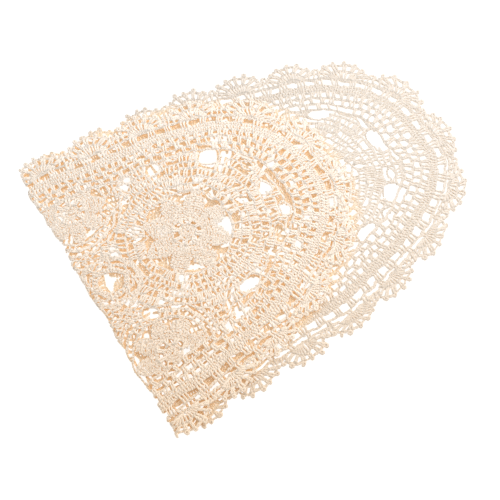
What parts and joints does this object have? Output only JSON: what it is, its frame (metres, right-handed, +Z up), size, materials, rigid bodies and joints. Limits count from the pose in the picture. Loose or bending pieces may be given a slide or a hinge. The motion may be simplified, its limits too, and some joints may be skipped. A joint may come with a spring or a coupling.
{
  "type": "lace doily",
  "caption": "Long oval crocheted lace doily with a scalloped picot edge, folded once across its width, to lie on a table or dresser.",
  "frame": {"origin": "middle of the folded doily's box, on the surface it lies on", "axes": "+X along the doily from the fold to the free end of the lower layer, +Y across it, +Z up through the layers"},
  "size_m": [0.3602, 0.2874, 0.0064],
  "materials": {
    "cotton": "matte"
  },
  "bodies": {
    "root": {"doily": "cotton"}
  },
  "joints": []
}
